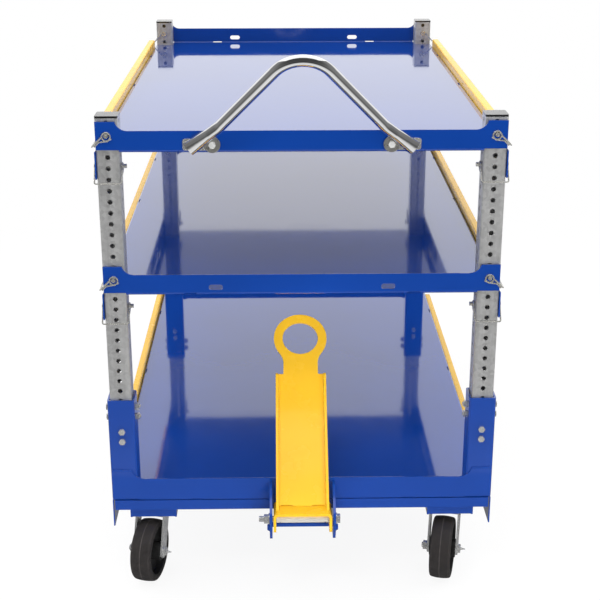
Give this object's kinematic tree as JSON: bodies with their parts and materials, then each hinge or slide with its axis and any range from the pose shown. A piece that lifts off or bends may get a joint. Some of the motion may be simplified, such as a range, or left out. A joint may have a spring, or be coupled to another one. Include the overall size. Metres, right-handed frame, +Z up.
{
  "type": "adjustable shelf tow cart",
  "caption": "Tow cart with height-adjustable pinned shelves on perforated posts, a base on swivel and fixed casters, a loop push handle and a folding tow tongue.",
  "frame": {"origin": "on the floor under the middle of the cart's bounding box", "axes": "+X to the right of someone who faces the tongue end, +Y from the tongue end to the far end, +Z up"},
  "size_m": [0.9504, 1.6979, 1.3046],
  "materials": {
    "blue_paint": "gloss",
    "yellow_paint": "gloss",
    "galvanised": "satin",
    "zinc": "satin",
    "pin_steel": "satin",
    "chrome": "polished",
    "cap_plastic": "satin",
    "hub": "matte",
    "tyre": "matte"
  },
  "bodies": {
    "base": {"base_deck": "blue_paint", "base_beams": "blue_paint", "caster_runners": "blue_paint", "socket_front_left": "blue_paint", "socket_front_right": "blue_paint", "socket_rear_left": "blue_paint", "socket_rear_right": "blue_paint", "post_front_left": "galvanised", "post_front_right": "galvanised", "post_rear_left": "galvanised", "post_rear_right": "galvanised", "post_caps": "cap_plastic", "socket_bolts": "zinc", "socket_nuts": "zinc", "base_rail_left": "yellow_paint", "base_rail_right": "yellow_paint", "base_rail_bolts": "zinc", "hitch_bracket": "blue_paint", "hitch_bolt": "zinc", "hitch_nut": "zinc", "hitch_sleeve": "zinc", "hitch_washers": "zinc", "caster_plate_front_left": "zinc", "caster_plate_front_right": "zinc", "fork_rear_left": "zinc", "fork_rear_right": "zinc", "axles_rear": "zinc", "caster_bolts": "zinc", "caster_nuts": "zinc"},
    "top_shelf": {"top_shelf": "blue_paint", "top_pins": "pin_steel", "top_bails": "pin_steel", "top_rail_left": "yellow_paint", "top_rail_right": "yellow_paint", "top_rail_bolts": "zinc", "handle_tube": "chrome", "handle_tabs": "zinc", "handle_washers": "zinc", "handle_bolts": "zinc", "handle_nuts": "zinc"},
    "middle_shelf": {"middle_shelf": "blue_paint", "middle_pins": "pin_steel", "middle_bails": "pin_steel", "middle_rail_left": "yellow_paint", "middle_rail_right": "yellow_paint", "middle_rail_bolts": "zinc"},
    "tongue": {"tongue_plate": "yellow_paint", "tongue_knuckle": "yellow_paint"},
    "swivel_left": {"fork_front_left": "zinc", "axle_front_left": "zinc"},
    "swivel_right": {"fork_front_right": "zinc", "axle_front_right": "zinc"},
    "wheel_front_left": {"wheel_core_front_left": "hub", "tyre_front_left": "tyre"},
    "wheel_front_right": {"wheel_core_front_right": "hub", "tyre_front_right": "tyre"},
    "wheel_rear_left": {"wheel_core_rear_left": "hub", "tyre_rear_left": "tyre"},
    "wheel_rear_right": {"wheel_core_rear_right": "hub", "tyre_rear_right": "tyre"}
  },
  "joints": [
    {"name": "top_shelf_height", "type": "slide", "parent": "base", "child": "top_shelf", "axis": [0, 0, 1], "range_m": [-0.1524, 0]},
    {"name": "middle_shelf_height", "type": "slide", "parent": "base", "child": "middle_shelf", "axis": [0, 0, 1], "range_m": [-0.127, 0.0254]},
    {"name": "tongue_hinge", "type": "hinge", "parent": "base", "child": "tongue", "pos_m": [0, -0.80985, 0.2108], "axis": [1, 0, 0], "range_deg": [0, 148]},
    {"name": "swivel_left_turn", "type": "hinge", "parent": "base", "child": "swivel_left", "pos_m": [-0.3607, -0.66185, 0.16], "axis": [0, 0, 1], "continuous": true},
    {"name": "swivel_right_turn", "type": "hinge", "parent": "base", "child": "swivel_right", "pos_m": [0.3607, -0.66185, 0.16], "axis": [0, 0, 1], "continuous": true},
    {"name": "wheel_front_left_spin", "type": "hinge", "parent": "swivel_left", "child": "wheel_front_left", "pos_m": [-0.37473, -0.71813, 0.0762], "axis": [0.9703, -0.2419, 0], "continuous": true},
    {"name": "wheel_front_right_spin", "type": "hinge", "parent": "swivel_right", "child": "wheel_front_right", "pos_m": [0.34716, -0.71825, 0.0762], "axis": [0.9724, -0.2334, 0], "continuous": true},
    {"name": "wheel_rear_left_spin", "type": "hinge", "parent": "base", "child": "wheel_rear_left", "pos_m": [-0.3607, 0.76695, 0.0762], "axis": [1, 0, 0], "continuous": true},
    {"name": "wheel_rear_right_spin", "type": "hinge", "parent": "base", "child": "wheel_rear_right", "pos_m": [0.3607, 0.76695, 0.0762], "axis": [1, 0, 0], "continuous": true}
  ]
}
